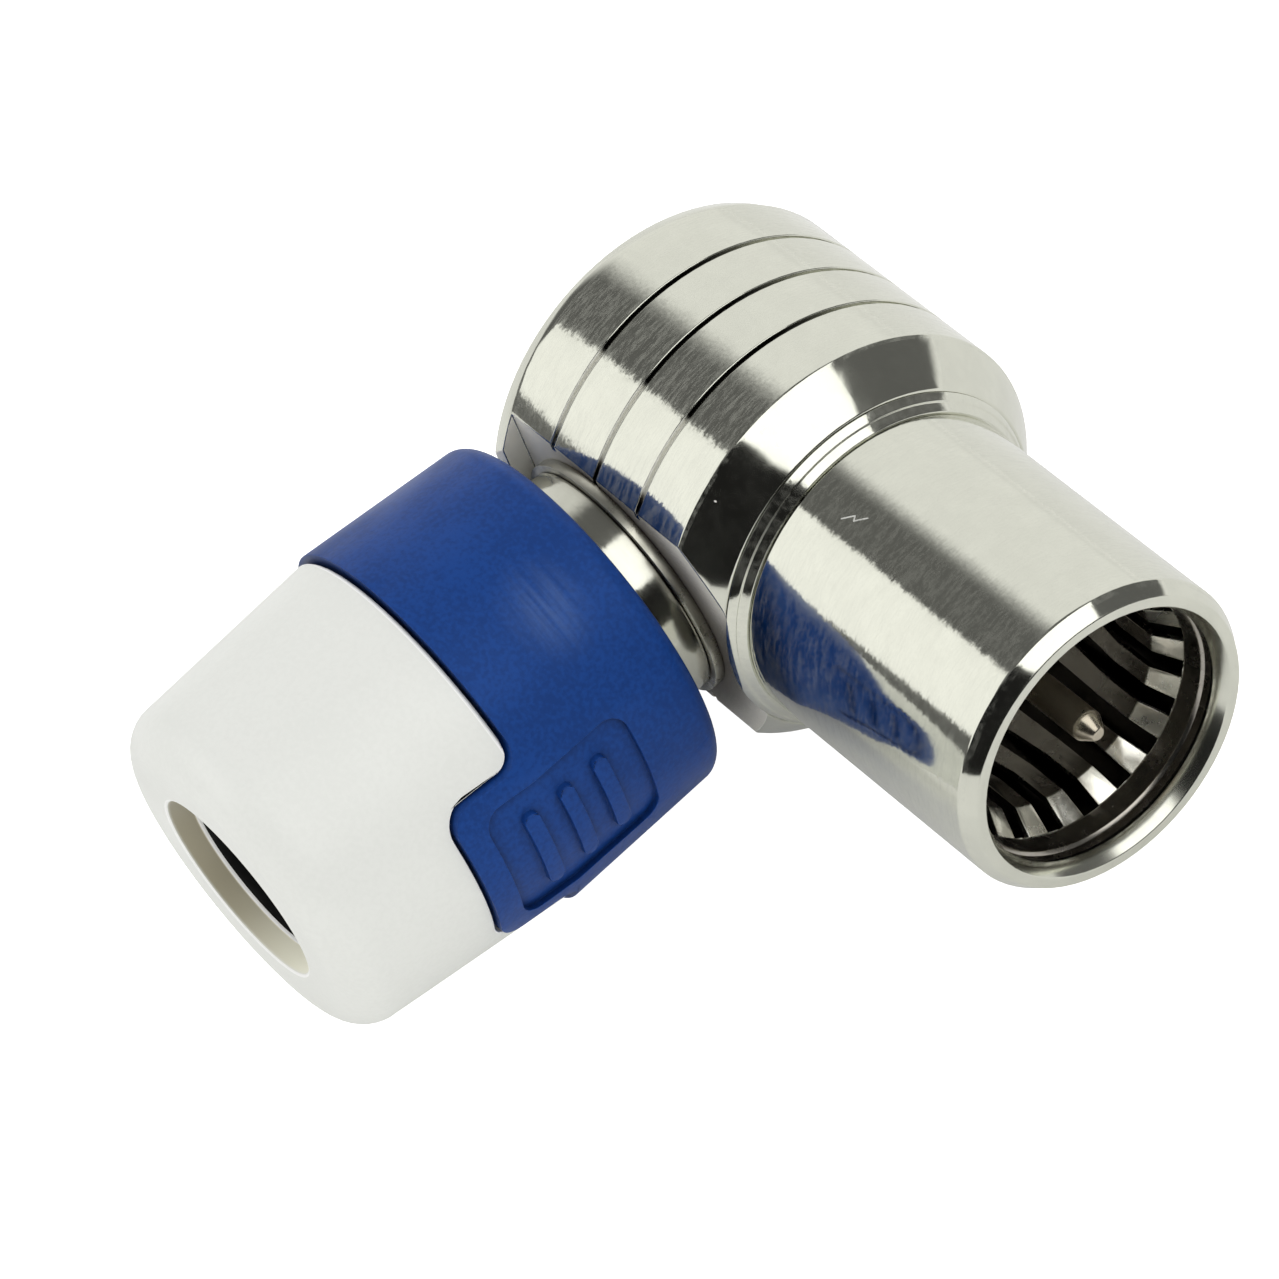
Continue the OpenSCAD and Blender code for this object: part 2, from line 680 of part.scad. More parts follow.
// A collet: a socket over the neck's end, with jaws that the cap's inner slope closes on the cable.
module clamp_sleeve() {
    jaw_r = jaw_d / 2;
    head_r1 = cap_bore_r(jaw_head) - jaw_gap;
    head_r2 = cap_bore_r(jaw_end) - jaw_gap;
    ridge_pitch = jaw_head_len / (ridge_n + 1);
    color("#34333a") along_cable() difference() {
        turned([
            [neck_d / 2 + seat_gap, socket_start], [neck_d / 2 + socket_t, socket_start],
            [neck_d / 2 + socket_t, jaw_start], [jaw_r + jaw_t, jaw_start],
            [jaw_r + jaw_t, jaw_head - head_slope],
            [head_r1, jaw_head], [head_r2, jaw_end], [jaw_r + jaw_lead, jaw_end],
            for (i = [ridge_n : -1 : 1]) each [
                [jaw_r, jaw_head + i * ridge_pitch + ridge_len],
                [jaw_r - ridge_h, jaw_head + i * ridge_pitch],
                [jaw_r, jaw_head + i * ridge_pitch - ridge_len]],
            [jaw_r, floor_start], [neck_d / 2 + seat_gap, floor_start]]);
        rotate([0, 0, 180 / jaw_n]) radial_slots(jaw_n, jaw_slot, jaw_start + jaw_root, far);
    }
}

module cap_skin() {
    round_start = cap_end - cap_round;
    rotate_extrude() {
        polygon([[0, cap_start], [cap_back_d / 2 - cap_edge, cap_start],
                 [cap_back_d / 2, cap_start + cap_edge],
                 [cap_front_d / 2, round_start], [0, round_start]]);
        square([cap_front_d / 2 - cap_round, cap_end]);
        intersection() {
            translate([cap_front_d / 2 - cap_round, round_start]) circle(r = cap_round);
            translate([0, round_start - eps]) square([far, cap_round + eps]);
        }
    }
}

module clamp_cap() {
    color("#e2e2da") along_cable() difference() {
        union() {
            difference() {
                cap_skin();
                translate([0, 0, -cap_start]) cylinder(r = far, h = 2 * cap_start);
                difference() {
                    towards_mouth() tongue_outline(joint_gap);
                    rod(skirt_d, 0, far);
                }
            }
            rod(skirt_d, skirt_start, bore_end);
            rod(cavity_d - 2 * slide_gap, skirt_start, skirt_start + bead_len);
        }
        rod(skirt_bore_d, 0, bore_end);
        turned([[0, bore_end - eps], [skirt_bore_d / 2, bore_end - eps], [skirt_bore_d / 2, bore_end],
                [cap_throat_d / 2, throat], [0, throat]]);
        rod(cable_hole_d, 0, far);
        turned([[0, cap_end - hole_mouth_len], [cable_hole_d / 2, cap_end - hole_mouth_len],
                [hole_mouth_d / 2, cap_end], [hole_mouth_d / 2, far], [0, far]]);
    }
}

elbow_body();
rear_cap();
coupling_sleeve();
shoulder_ring();
contact_cage();
cage_keeper();
front_insulator();
insulator_ring();
centre_pin();
contact_block();
wire_clip();
chamber_insulator();
neck_tube();
neck_washer();
guide_bush();
ferrule();
lock_ring();
clamp_collar();
clamp_sleeve();
clamp_cap();
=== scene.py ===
import bmesh
import bpy
import math
from mathutils import Matrix, Vector


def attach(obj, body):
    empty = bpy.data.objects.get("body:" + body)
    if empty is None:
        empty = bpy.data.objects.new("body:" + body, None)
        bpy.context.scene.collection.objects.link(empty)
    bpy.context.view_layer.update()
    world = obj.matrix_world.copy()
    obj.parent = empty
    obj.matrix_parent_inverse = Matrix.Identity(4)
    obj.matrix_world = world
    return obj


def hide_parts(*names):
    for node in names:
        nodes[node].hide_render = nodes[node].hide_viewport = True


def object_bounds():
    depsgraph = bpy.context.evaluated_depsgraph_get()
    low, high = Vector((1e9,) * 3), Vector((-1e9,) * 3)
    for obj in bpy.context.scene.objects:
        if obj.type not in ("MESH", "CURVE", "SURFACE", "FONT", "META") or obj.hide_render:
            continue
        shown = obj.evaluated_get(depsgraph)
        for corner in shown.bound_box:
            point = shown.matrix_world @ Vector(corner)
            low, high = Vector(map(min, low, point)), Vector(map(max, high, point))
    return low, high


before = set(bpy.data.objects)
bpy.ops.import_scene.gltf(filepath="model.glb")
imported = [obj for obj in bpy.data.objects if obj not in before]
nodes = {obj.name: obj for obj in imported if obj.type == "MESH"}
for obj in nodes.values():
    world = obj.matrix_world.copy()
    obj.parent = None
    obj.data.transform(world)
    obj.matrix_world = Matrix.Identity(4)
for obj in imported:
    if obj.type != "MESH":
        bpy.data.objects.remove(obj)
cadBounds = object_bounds()
scene = bpy.context.scene
mm = 0.001
print("frame loaded,", len(nodes), "nodes")


# Places that the finishes need, read from the frame.
def box(name):
    points = [v.co for v in nodes[name].data.vertices]
    return tuple(Vector(pick(p[i] for p in points) for i in range(3)) for pick in (min, max))


def turnedRadius(name):
    return max(math.hypot(v.co.y, v.co.z) for v in nodes[name].data.vertices)


# The cable's axis, on which the washer is turned, crosses the mating axis at this place.
cableX = sum(end.x for end in box("neck_washer")) / 2
drumRadius = turnedRadius("elbow_body")
drumBack, coneFront = (end.x for end in box("elbow_body"))
barrelRadius = turnedRadius("coupling_sleeve")
mouthX = box("coupling_sleeve")[1].x
cageFront = box("contact_cage")[1].x
washerTop = box("neck_washer")[1].y
collarRadius = box("clamp_collar")[1].z
capEnd = box("clamp_cap")[0].y
print("barrel radius", round(barrelRadius / mm, 2), "drum radius", round(drumRadius / mm, 2))

# The camera stands to the front right and above, turned a little about its own axis.
view = {"azimuth": 69.67, "elevation": 47.56, "roll": 23.61, "lens": 225.2,
        "distance": 0.2976, "aim": (-0.009709, -0.007325, -0.002841)}


def makeCamera():
    a, e, roll = (math.radians(view[k]) for k in ("azimuth", "elevation", "roll"))
    back = Vector((math.sin(a) * math.cos(e), -math.cos(a) * math.cos(e), math.sin(e)))
    right = (-back).cross(Vector((0, 0, 1))).normalized()
    down = (-back).cross(right)
    across = right * math.cos(roll) + down * math.sin(roll)
    camera = bpy.data.objects.new("camera", bpy.data.cameras.new("camera"))
    camera.data.lens = view["lens"]
    camera.data.clip_start, camera.data.clip_end = 0.01, 10
    place = Matrix((across, back.cross(across), back)).transposed().to_4x4()
    place.translation = Vector(view["aim"]) + back * view["distance"]
    camera.matrix_world = place
    scene.collection.objects.link(camera)
    scene.camera = camera


makeCamera()
print("camera set")


# Small helpers for node trees.
def addNode(tree, kind, inputs=None, **settings):
    node = tree.nodes.new(kind)
    for key, value in settings.items():
        setattr(node, key, value)
    for key, value in (inputs or {}).items():
        if isinstance(value, bpy.types.NodeSocket):
            tree.links.new(value, node.inputs[key])
        else:
            node.inputs[key].default_value = value
    return node


def maths(tree, operation, *values, clamp=False):
    return addNode(tree, "ShaderNodeMath", dict(enumerate(values)),
                   operation=operation, use_clamp=clamp).outputs[0]


def product(tree, first, *others):
    for other in others:
        first = maths(tree, "MULTIPLY", first, other)
    return first


def vectors(tree, operation, *values, out=0):
    return addNode(tree, "ShaderNodeVectorMath", dict(enumerate(values)),
                   operation=operation).outputs[out]


def scaled(tree, vector, factor):
    return addNode(tree, "ShaderNodeVectorMath", {0: vector, "Scale": factor},
                   operation="SCALE").outputs[0]


def separated(tree, vector):
    return addNode(tree, "ShaderNodeSeparateXYZ", {0: vector}).outputs


def coordinates(tree, kind):
    return addNode(tree, "ShaderNodeTexCoord").outputs[kind]


def noise(tree, vector, scale, detail, roughness=0.5):
    return addNode(tree, "ShaderNodeTexNoise", {"Vector": vector, "Scale": scale, "Detail": detail,
                                                "Roughness": roughness}).outputs[0]


def openness(tree, reach):
    return addNode(tree, "ShaderNodeAmbientOcclusion", {"Distance": reach}, samples=4).outputs["AO"]


def mixColour(tree, factor, a, b, blend="MIX"):
    return addNode(tree, "ShaderNodeMix", {0: factor, 6: a, 7: b},
                   data_type="RGBA", blend_type=blend).outputs[2]


def ramp(tree, value, low, high, toLow=0.0, toHigh=1.0):
    return addNode(tree, "ShaderNodeMapRange",
                   {0: value, 1: low, 2: high, 3: toLow, 4: toHigh},
                   interpolation_type="SMOOTHSTEP").outputs[0]


def between(tree, value, rise, fall):
    # One between the two places, and none outside them.
    return product(tree, ramp(tree, value, *rise), ramp(tree, value, *fall, 1.0, 0.0))


# The studio: a white table, a paper backdrop, two soft boxes and the dark room between them.
# Each panel's corners are (azimuth, elevation) in degrees, counted from +X towards +Y.
studio = {
    "table": 1.0, "room": 0.14, "horizon": 0.06, "cameraSees": 1.0, "fill": 1.0,
    "tint": (1.0, 1.0, 0.985, 1),
    "panels": [
        {"corners": [(-100, -1), (32, -1), (34, 50), (-60, 78)], "light": 0.015, "soft": 0.008},
        {"corners": [(100, -1), (172, -1), (164, 52), (100, 50)], "light": 1.0, "soft": 0.12},
        {"corners": [(-60, 69), (77, 50), (35, 28.5), (-5, 33.5)], "light": 1.75, "soft": 0.012},
        {"corners": [(-153, 45.5), (-100, 50), (-100, 14), (-164, 9)], "light": 1.25, "soft": 0.02},
    ]}
paper = {"base": (0.8, 0.8, 0.79, 1), "roughness": 0.9, "shine": 0.1, "size": 0.9,
         "glow": (1, 1, 0.99, 1), "seenGlow": 0.98, "mirroredGlow": 0.1}


def direction(azimuth, elevation):
    a, e = math.radians(azimuth), math.radians(elevation)
    return Vector((math.cos(a) * math.cos(e), math.sin(a) * math.cos(e), math.sin(e)))


def makeWorld():
    world = bpy.data.worlds.new("studio")
    world.use_nodes = True
    tree = world.node_tree
    tree.nodes.clear()
    way = coordinates(tree, "Generated")
    light = ramp(tree, separated(tree, way)["Z"], 0.0, studio["horizon"],
                 studio["table"], studio["room"])
    for panel in studio["panels"]:
        corners = [direction(*c) for c in panel["corners"]]
        centre = sum(corners, Vector()).normalized()
        sides = []
        for corner, following in zip(corners, corners[1:] + corners[:1]):
            edge = corner.cross(following).normalized()
            if edge.dot(centre) < 0:
                edge = -edge
            side = vectors(tree, "DOT_PRODUCT", way, edge, out="Value")
            sides.append(ramp(tree, side, -panel["soft"], panel["soft"]))
        light = addNode(tree, "ShaderNodeMapRange",
                        {0: product(tree, *sides), 3: light, 4: panel["light"]}).outputs[0]
    colour = mixColour(tree, 1.0, studio["tint"], light, "MULTIPLY")
    # Dull surfaces get an even soft fill, and the camera sees white behind the part.
    ray = addNode(tree, "ShaderNodeLightPath").outputs
    colour = mixColour(tree, ray["Is Diffuse Ray"], colour, (studio["fill"],) * 3 + (1,))
    colour = mixColour(tree, ray["Is Camera Ray"], colour, (studio["cameraSees"],) * 3 + (1,))
    back = addNode(tree, "ShaderNodeBackground", {"Color": colour, "Strength": 1.0})
    addNode(tree, "ShaderNodeOutputWorld", {0: back.outputs[0]})
    scene.world = world


def makeFloor():
    bm = bmesh.new()
    bmesh.ops.create_grid(bm, x_segments=1, y_segments=1, size=paper["size"])
    bmesh.ops.translate(bm, verts=bm.verts, vec=(0, 0, cadBounds[0].z))
    mesh = bpy.data.meshes.new("floor")
    bm.to_mesh(mesh)
    bm.free()
    floor = bpy.data.objects.new("floor", mesh)
    scene.collection.objects.link(floor)
    material, tree, shader = newMaterial("paleFloor")
    shader.inputs["Base Color"].default_value = paper["base"]
    shader.inputs["Roughness"].default_value = paper["roughness"]
    shader.inputs["Specular IOR Level"].default_value = paper["shine"]
    shader.inputs["Emission Color"].default_value = paper["glow"]
    # The paper looks white to the camera, but the part still mirrors its own shade on it.
    seen = addNode(tree, "ShaderNodeLightPath").outputs["Is Camera Ray"]
    glow = maths(tree, "MULTIPLY_ADD", seen, paper["seenGlow"] - paper["mirroredGlow"],
                 paper["mirroredGlow"])
    tree.links.new(glow, shader.inputs["Emission Strength"])
    mesh.materials.append(material)


def newMaterial(name):
    material = bpy.data.materials.new(name)
    material.use_nodes = True
    tree = material.node_tree
    return material, tree, tree.nodes["Principled BSDF"]


makeWorld()
makeFloor()
scene.view_settings.view_transform = "Standard"
print("studio and floor made")


# Node groups that several finishes share.
def newGroup(name, inputs, outputs):
    group = bpy.data.node_groups.new(name, "ShaderNodeTree")
    for label, kind, value in inputs:
        socket = group.interface.new_socket(label, in_out="INPUT", socket_type=kind)
        if value is not None:
            socket.default_value = value
    for label, kind in outputs:
        group.interface.new_socket(label, in_out="OUTPUT", socket_type=kind)
    return group, group.nodes.new("NodeGroupInput"), group.nodes.new("NodeGroupOutput")


def makeTurnedSkin():
    # The lathe's and the polisher's marks round the local X axis. Each mark leans the surface a
    # little round the axis, so the edge of a reflection breaks up into short strokes.
    group, given, result = newGroup(
        "turnedSkin",
        [("Vector", "NodeSocketVector", None), ("Axis", "NodeSocketVector", (1, 0, 0)),
         ("Marks per mm", "NodeSocketFloat", 9.0), ("Marks round", "NodeSocketFloat", 6.0),
         ("Lean", "NodeSocketFloat", 0.04), ("Fine Lean", "NodeSocketFloat", 0.04),
         ("Grain", "NodeSocketFloat", 0.03), ("Marked Radius", "NodeSocketFloat", 0.0),
         ("Elsewhere", "NodeSocketFloat", 1.0)],
        [("Normal", "NodeSocketVector"), ("Patches", "NodeSocketFloat"),
         ("Marks", "NodeSocketFloat"), ("Radius", "NodeSocketFloat"), ("Flecks", "NodeSocketFloat")])
    given = given.outputs
    at = separated(group, given["Vector"])
    angle = maths(group, "ARCTAN2", at["Y"], at["Z"])
    radius = maths(group, "SQRT", maths(group, "MULTIPLY_ADD", at["Y"], at["Y"],
                                        maths(group, "MULTIPLY", at["Z"], at["Z"])))
    along = maths(group, "MULTIPLY", maths(group, "ADD", at["X"], radius), 1 / mm)

    def strokes(pitch, turns, detail):
        spot = addNode(group, "ShaderNodeCombineXYZ",
                       {0: product(group, along, pitch),
                        1: product(group, maths(group, "SINE", angle), turns),
                        2: product(group, maths(group, "COSINE", angle), turns)}).outputs[0]
        return noise(group, spot, 1.0, detail, 0.6)

    def leaning(marks, amount, already=0.0):
        return maths(group, "MULTIPLY_ADD", maths(group, "SUBTRACT", marks, 0.5), amount, already)

    broad = strokes(given["Marks per mm"], given["Marks round"], 2.0)
    fine = strokes(product(group, given["Marks per mm"], 3.1),
                   product(group, given["Marks round"], 4.3), 3.0)
    grain = noise(group, given["Vector"], 7000.0, 2.0, 0.7)
    lean = leaning(broad, given["Lean"])
    lean = leaning(fine, given["Fine Lean"], lean)
    lean = leaning(grain, given["Grain"], lean)
    outer = maths(group, "GREATER_THAN", radius, given["Marked Radius"])
    outer = addNode(group, "ShaderNodeMapRange", {0: outer, 3: given["Elsewhere"]}).outputs[0]
    facing = addNode(group, "ShaderNodeNewGeometry").outputs["Normal"]
    across = vectors(group, "CROSS_PRODUCT", given["Axis"], facing)
    leant = scaled(group, across, product(group, lean, outer))
    normal = vectors(group, "NORMALIZE", vectors(group, "ADD", facing, leant))
    flecks = maths(group, "MULTIPLY_ADD", broad, 0.5, maths(group, "MULTIPLY", fine, 0.5))
    flecks = product(group, ramp(group, flecks, 0.42, 0.62), outer)
    patches = noise(group, given["Vector"], 900.0, 4.0, 0.65)
    for label, value in (("Normal", normal), ("Patches", patches), ("Marks", broad),
                         ("Radius", radius), ("Flecks", flecks)):
        group.links.new(value, result.inputs[label])
    return group


turnedSkin = makeTurnedSkin()
print("finish groups made")


def onAxis(tree, spot, cableWise):
    # Object coordinates with the turning axis on local X.
    if not cableWise:
        return spot
    return addNode(tree, "ShaderNodeMapping",
                   {"Vector": spot, "Location": (0, -cableX, 0), "Rotation": (0, 0, math.radians(90))},
                   vector_type="POINT").outputs[0]


# Grooves are counted from the cable's axis, the bore's lead-in from the mouth, the ledge from the drum's
# back, the cone from its front, and the slopes with the painted highlight from the cage's front.
metals = {
    "bodyNickel": {
        "base": (0.68, 0.685, 0.605, 1), "roughness": 0.09, "waves": 4e-7, "strokes": 0.03,
        "marks": 6.0, "lean": 0.035, "fineLean": 0.05, "grain": 0.06, "flecks": 0.16,
        "markedRadius": drumRadius - 0.1 * mm, "elsewhere": 0.08, "shade": 2.5 * mm,
        # The grooves' near-black colour is painted shade, and their light edge colour is a painted
        # highlight.
        "grooves": {"back": 2.43 * mm, "pitch": 2.58 * mm, "count": 3, "halfWidth": 0.1 * mm,
                    "floor": 0.3 * mm, "grooveShadeColour": (0.012, 0.011, 0.009, 1),
                    "groovePaintedHighlight": (0.86, 0.85, 0.77, 1), "grooveShadeLow": -3.1 * mm, "grooveShadeTop": 5.2 * mm,
                    "grooveHighlightLow": -5.85 * mm},
        # The milled faces' cream, mostly non-metallic colour is a painted reflection; their extra
        # roughness is real.
        "milled": {"colour": (1.0, 0.97, 0.86, 1), "dullness": 0.4, "paintedReflection": 0.85,
                   "ledge": 1.5 * mm},
        "specks": {"colour": (0.9, 0.89, 0.84, 1), "scale": 2600.0, "coneLength": 1.56 * mm}},
    "sleeveNickel": {
        "base": (0.68, 0.685, 0.605, 1), "roughness": 0.08, "waves": 4e-7, "strokes": 0.03,
        "marks": 4.5, "lean": 0.03, "fineLean": 0.035, "grain": 0.04, "flecks": 0.08,
        "markedRadius": barrelRadius - 0.13 * mm, "elsewhere": 0.1,
        # The bore's dark colour behind the bars is painted shade.
        "bore": {"radius": 6.05 * mm, "leadIn": 0.64 * mm, "dullness": 0.12,
                 "paintedShade": (0.03, 0.027, 0.024, 1)},
        "scratch": {"along": -0.05 * mm, "turn": 14.0, "length": 0.88 * mm, "slant": 5.4,
                    "kinkLength": 0.12 * mm, "kink": 1.6, "width": 0.04 * mm,
                    "colour": (0.95, 0.95, 0.9, 1)}},
    "neckNickel": {
        "base": (0.66, 0.66, 0.58, 1), "roughness": 0.13, "waves": 6e-7,
        "lean": 0.03, "fineLean": 0.04, "cableWise": True, "shade": 0.8 * mm},
    "washerNickel": {
        "base": (0.6, 0.59, 0.51, 1), "roughness": 0.3, "waves": 6e-7,
        "lean": 0.03, "fineLean": 0.04, "cableWise": True, "shade": 0.5 * mm},
    "springNickel": {
        "base": (0.4, 0.375, 0.335, 1), "roughness": 0.24, "waves": 6e-7,
        "lean": 0.02, "fineLean": 0.02,
        # The bars' bright front slopes are a painted highlight.
        "paintedSlopeHighlight": {"collar": 1.02 * mm, "slope": 1.2 * mm, "base": (0.95, 0.94, 0.86, 1)}},
    "contactBrass": {
        "base": (0.5, 0.45, 0.36, 1), "roughness": 0.3, "waves": 4e-7,
        "lean": 0.02, "fineLean": 0.02},
}
strokeColour = (0.2, 0.2, 0.18, 1)
shadeColour = (0.12, 0.1, 0.075, 1)


def zigzag(mark):
    # The two ends of a scratch on the barrel and the kink between them.
    corners = []
    for along, turn in ((-mark["length"], mark["slant"]), (-mark["kinkLength"], -mark["kink"]),
                        (mark["kinkLength"], mark["kink"]), (mark["length"], -mark["slant"])):
        a = math.radians(mark["turn"] + turn / 2)
        corners.append(Vector((mark["along"] + along / 2,
                               -barrelRadius * math.sin(a), barrelRadius * math.cos(a))))
    return corners


def scratched(tree, spot, mark):
    corners = zigzag(mark)
    mask = 0.0
    for a, b in zip(corners, corners[1:]):
        away = vectors(tree, "SUBTRACT", spot, a)
        share = vectors(tree, "DOT_PRODUCT", away, (b - a) / (b - a).length_squared, out="Value")
        nearest = scaled(tree, b - a, maths(tree, "MULTIPLY", share, 1.0, clamp=True))
        gap = vectors(tree, "DISTANCE", away, nearest, out="Value")
        line = ramp(tree, gap, mark["width"] * 0.5, mark["width"], 1.0, 0.0)
        mask = maths(tree, "MAXIMUM", mask, line)
    return mask


def outletShade(tree, at, reach):
    # Painted shade: the narrow places round the cable's outlet are coloured brown where the
    # ambient-occlusion test finds them enclosed.
    low = ramp(tree, at["Y"], washerTop + 0.5 * mm, washerTop + 0.8 * mm, 1.0, 0.0)
    front = ramp(tree, at["X"], cableX - 4.4 * mm, cableX - 0.4 * mm)
    return product(tree, ramp(tree, openness(tree, reach), 0.35, 0.9, 1.0, 0.0), low, front)


def grooveMasks(tree, at, radius, look):
    # Painted shade: the turned grooves are coloured nearly black on the upper side, and this thins out
    # round the far side. Lower down, one edge of each groove gets a light, mostly non-metallic colour as
    # a painted highlight.
    groovePaintedShade = groovePaintedHighlight = 0.0
    for i in range(look["count"]):
        off = maths(tree, "SUBTRACT", at["X"], cableX - look["back"] + i * look["pitch"])
        line = ramp(tree, maths(tree, "ABSOLUTE", off), look["halfWidth"],
                    look["halfWidth"] + 0.03 * mm, 1.0, 0.0)
        half = between(tree, off, (-0.14 * mm, -0.12 * mm), (0.03 * mm, 0.05 * mm))
        groovePaintedShade = maths(tree, "MAXIMUM", groovePaintedShade, line)
        groovePaintedHighlight = maths(tree, "MAXIMUM", groovePaintedHighlight, half)
    sunk = between(tree, radius, (drumRadius - look["floor"], drumRadius - look["floor"] + 0.05 * mm),
                   (drumRadius - 0.06 * mm, drumRadius - 0.005 * mm))
    upper = ramp(tree, at["Z"], 0.0, 1 * mm)
    change = (look["grooveShadeLow"] - 0.2 * mm, look["grooveShadeLow"] + 0.2 * mm)
    groovePaintedShade = product(tree, groovePaintedShade, sunk, upper,
                    between(tree, at["Y"], change, (1.0 * mm, look["grooveShadeTop"])))
    groovePaintedHighlight = product(tree, groovePaintedHighlight, upper, between(
        tree, at["Y"], (look["grooveHighlightLow"] - 0.15 * mm, look["grooveHighlightLow"] + 0.15 * mm), change))
    return groovePaintedShade, groovePaintedHighlight


def milledMask(tree, at, look):
    # The milled flat and the rim's inner face are duller than the turned skin.
    faces = separated(tree, coordinates(tree, "Normal"))
    flat = product(tree, ramp(tree, faces["Y"], -0.97, -0.93, 1.0, 0.0),
                   ramp(tree, at["Y"], washerTop + 0.04 * mm, washerTop + 0.07 * mm, 1.0, 0.0))
    ledgeX = drumBack + look["ledge"]
    ledge = product(tree, ramp(tree, faces["X"], 0.9, 0.97),
                    ramp(tree, at["X"], ledgeX - 0.05 * mm, ledgeX + 0.05 * mm, 1.0, 0.0))
    return maths(tree, "MAXIMUM", flat, ledge)


def coneSpecks(tree, spot, at, look):
    # A few bright specks sit on the dark cone.
    specks = ramp(tree, noise(tree, spot, look["scale"], 1.0), 0.74, 0.78)
    coneX = coneFront - look["coneLength"]
    return product(tree, specks, ramp(tree, at["X"], coneX - 0.05 * mm, coneX + 0.05 * mm),
                   ramp(tree, at["Y"], -1 * mm, 1 * mm, 1.0, 0.0))


def platedMetal(name):
    look = metals[name]
    cableWise = look.get("cableWise", False)
    material, tree, shader = newMaterial(name)
    spot = coordinates(tree, "Object")
    at = separated(tree, spot)
    skin = addNode(tree, "ShaderNodeGroup", node_tree=turnedSkin)
    tree.links.new(onAxis(tree, spot, cableWise), skin.inputs["Vector"])
    for label, value in (
            ("Axis", (0, 1, 0) if cableWise else (1, 0, 0)), ("Marks per mm", look.get("marks", 8.0)),
            ("Lean", look["lean"]), ("Fine Lean", look["fineLean"]), ("Grain", look.get("grain", 0.02)),
            ("Marked Radius", look.get("markedRadius", 0.0)), ("Elsewhere", look.get("elsewhere", 1.0))):
        skin.inputs[label].default_value = value
    skin = skin.outputs
    base = look["base"]
    dull = tuple(c * 0.96 for c in base[:3]) + (1,)
    colour = mixColour(tree, ramp(tree, skin["Patches"], 0.35, 0.7), dull, base)
    stroked = ramp(tree, skin["Marks"], 0.5, 0.75, 0.0, look.get("strokes", 0.05))
    colour = mixColour(tree, stroked, colour, strokeColour)
    metallic = maths(tree, "MULTIPLY_ADD", skin["Flecks"], -look.get("flecks", 0.0), 1.0)
    roughness = ramp(tree, skin["Patches"], 0.3, 0.7, look["roughness"] * 1.3, look["roughness"] * 0.8)
    if "paintedSlopeHighlight" in look:
        # Painted highlight: the bars' front slopes get a bright colour for the light they reflect.
        highlightEnd = cageFront - look["paintedSlopeHighlight"]["collar"]
        highlightStart = highlightEnd - look["paintedSlopeHighlight"]["slope"]
        slopeHighlight = between(tree, at["X"], (highlightStart, highlightStart + 0.05 * mm), (highlightEnd, highlightEnd + 0.05 * mm))
        colour = mixColour(tree, slopeHighlight, colour, look["paintedSlopeHighlight"]["base"])
    if "grooves" in look:
        grooves, flat = look["grooves"], look["milled"]
        groovePaintedShade, groovePaintedHighlight = grooveMasks(tree, at, skin["Radius"], grooves)
        colour = mixColour(tree, groovePaintedShade, colour, grooves["grooveShadeColour"])
        roughness = maths(tree, "MULTIPLY_ADD", groovePaintedShade, 0.5, roughness)
        colour = mixColour(tree, groovePaintedHighlight, colour, grooves["groovePaintedHighlight"])
        # Painted reflection: the milled flat and the rim's inner face get a light cream, mostly
        # non-metallic colour for the light they reflect.
        milled = milledMask(tree, at, flat)
        colour = mixColour(tree, milled, colour, flat["colour"])
        roughness = maths(tree, "MULTIPLY_ADD", milled, flat["dullness"], roughness)
        painted = maths(tree, "MAXIMUM", maths(tree, "MULTIPLY", milled, flat["paintedReflection"]),
                        maths(tree, "MULTIPLY", groovePaintedHighlight, 0.8))
        metallic = maths(tree, "SUBTRACT", metallic, painted, clamp=True)
        specks = coneSpecks(tree, spot, at, look["specks"])
        colour = mixColour(tree, specks, colour, look["specks"]["colour"])
        metallic = maths(tree, "MULTIPLY_ADD", specks, -0.8, metallic, clamp=True)
    if "bore" in look:
        # Painted shade: the bore behind the bars is coloured dark, and its lead-in is duller than the
        # outside.
        bore = look["bore"]
        boreX = mouthX - bore["leadIn"]
        inner = ramp(tree, skin["Radius"], bore["radius"] - 0.05 * mm, bore["radius"], 1.0, 0.0)
        roughness = maths(tree, "MULTIPLY_ADD", inner, bore["dullness"], roughness)
        paintedShade = product(tree, inner, ramp(tree, at["X"], boreX - 0.05 * mm, boreX, 1.0, 0.0))
        colour = mixColour(tree, paintedShade, colour, bore["paintedShade"])
    if "scratch" in look:
        bright = product(tree, scratched(tree, spot, look["scratch"]),
                         ramp(tree, skin["Patches"], 0.35, 0.55, 0.3, 1.0))
        colour = mixColour(tree, bright, colour, look["scratch"]["colour"])
        metallic = maths(tree, "MULTIPLY_ADD", bright, -0.5, metallic, clamp=True)
    if "shade" in look:
        colour = mixColour(tree, outletShade(tree, at, look["shade"]), colour, shadeColour)
    bump = addNode(tree, "ShaderNodeBump", {"Height": skin["Patches"], "Distance": look["waves"],
                                            "Strength": 1.0, "Normal": skin["Normal"]})
    for label, value in (("Metallic", metallic), ("Base Color", colour), ("Roughness", roughness),
                         ("Normal", bump.outputs[0])):
        tree.links.new(value, shader.inputs[label])
    return material


